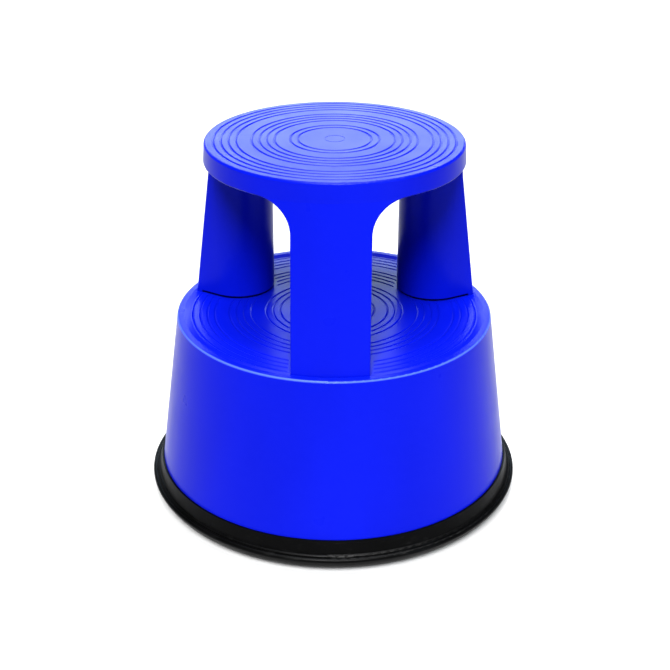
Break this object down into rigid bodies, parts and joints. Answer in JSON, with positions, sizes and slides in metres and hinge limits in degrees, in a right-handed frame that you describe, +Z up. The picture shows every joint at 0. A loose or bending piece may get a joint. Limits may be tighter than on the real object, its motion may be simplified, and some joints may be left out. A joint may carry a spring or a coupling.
{
  "type": "kick step stool",
  "caption": "Round kick step stool: grooved drum-shaped lower step, smaller round upper step on hollow legs, rubber foot ring, hidden sprung swivel castors.",
  "frame": {"origin": "on the floor under the stool's centre, unloaded, standing on its castors", "axes": "+Z up along the stool's axis; the front leg is on -Y, the other two towards +X+Y and -X+Y"},
  "size_m": [0.4434, 0.4434, 0.43],
  "materials": {
    "blue_plastic": "satin moulded polypropylene",
    "ring_rubber": "satin black rubber",
    "screw_steel": "bright zinc plate",
    "zinc_steel": "zinc plated pressed steel",
    "spring_steel": "oiled spring wire",
    "castor_plastic": "satin black nylon",
    "bush_plastic": "natural acetal",
    "castor_tyre": "soft grey-black tread"
  },
  "bodies": {
    "stool": {"upper_step": "blue_plastic", "lower_step": "blue_plastic", "base_ring": "ring_rubber", "leg_screws": "screw_steel", "sleeve_screws": "screw_steel", "castor_1_sleeve": "castor_plastic", "castor_1_spring_seat": "zinc_steel", "castor_2_sleeve": "castor_plastic", "castor_2_spring_seat": "zinc_steel", "castor_3_sleeve": "castor_plastic", "castor_3_spring_seat": "zinc_steel"},
    "castor_1_slider": {"castor_1_plunger": "castor_plastic", "castor_1_spring": "spring_steel"},
    "castor_1_swivel": {"castor_1_fork": "zinc_steel", "castor_1_stem": "zinc_steel", "castor_1_clip": "spring_steel", "castor_1_washer": "zinc_steel", "castor_1_axle": "zinc_steel"},
    "castor_1_wheel": {"castor_1_tyre": "castor_tyre", "castor_1_hub": "castor_plastic", "castor_1_bush": "bush_plastic"},
    "castor_2_slider": {"castor_2_plunger": "castor_plastic", "castor_2_spring": "spring_steel"},
    "castor_2_swivel": {"castor_2_fork": "zinc_steel", "castor_2_stem": "zinc_steel", "castor_2_clip": "spring_steel", "castor_2_washer": "zinc_steel", "castor_2_axle": "zinc_steel"},
    "castor_2_wheel": {"castor_2_tyre": "castor_tyre", "castor_2_hub": "castor_plastic", "castor_2_bush": "bush_plastic"},
    "castor_3_slider": {"castor_3_plunger": "castor_plastic", "castor_3_spring": "spring_steel"},
    "castor_3_swivel": {"castor_3_fork": "zinc_steel", "castor_3_stem": "zinc_steel", "castor_3_clip": "spring_steel", "castor_3_washer": "zinc_steel", "castor_3_axle": "zinc_steel"},
    "castor_3_wheel": {"castor_3_tyre": "castor_tyre", "castor_3_hub": "castor_plastic", "castor_3_bush": "bush_plastic"}
  },
  "joints": [
    {"name": "castor_1_press", "type": "slide", "parent": "stool", "child": "castor_1_slider", "axis": [0, 0, 1], "range_m": [0, 0.008], "stiffness_N_per_m": 4500, "springref_m": -0.0045, "deforming": ["castor_1_spring"]},
    {"name": "castor_1_turn", "type": "hinge", "parent": "castor_1_slider", "child": "castor_1_swivel", "pos_m": [0, 0.15, 0.046], "axis": [0, 0, 1], "continuous": true},
    {"name": "castor_1_roll", "type": "hinge", "parent": "castor_1_swivel", "child": "castor_1_wheel", "pos_m": [-0.014, 0.15, 0.02], "axis": [0, 1, 0], "continuous": true},
    {"name": "castor_2_press", "type": "slide", "parent": "stool", "child": "castor_2_slider", "axis": [0, 0, 1], "range_m": [0, 0.008], "stiffness_N_per_m": 4500, "springref_m": -0.0045, "deforming": ["castor_2_spring"]},
    {"name": "castor_2_turn", "type": "hinge", "parent": "castor_2_slider", "child": "castor_2_swivel", "pos_m": [-0.1299, -0.075, 0.046], "axis": [0, 0, 1], "continuous": true},
    {"name": "castor_2_roll", "type": "hinge", "parent": "castor_2_swivel", "child": "castor_2_wheel", "pos_m": [-0.1229, -0.08712, 0.02], "axis": [-0.866, -0.5, 0], "continuous": true},
    {"name": "castor_3_press", "type": "slide", "parent": "stool", "child": "castor_3_slider", "axis": [0, 0, 1], "range_m": [0, 0.008], "stiffness_N_per_m": 4500, "springref_m": -0.0045, "deforming": ["castor_3_spring"]},
    {"name": "castor_3_turn", "type": "hinge", "parent": "castor_3_slider", "child": "castor_3_swivel", "pos_m": [0.1299, -0.075, 0.046], "axis": [0, 0, 1], "continuous": true},
    {"name": "castor_3_roll", "type": "hinge", "parent": "castor_3_swivel", "child": "castor_3_wheel", "pos_m": [0.1369, -0.06288, 0.02], "axis": [0.866, -0.5, 0], "continuous": true}
  ]
}
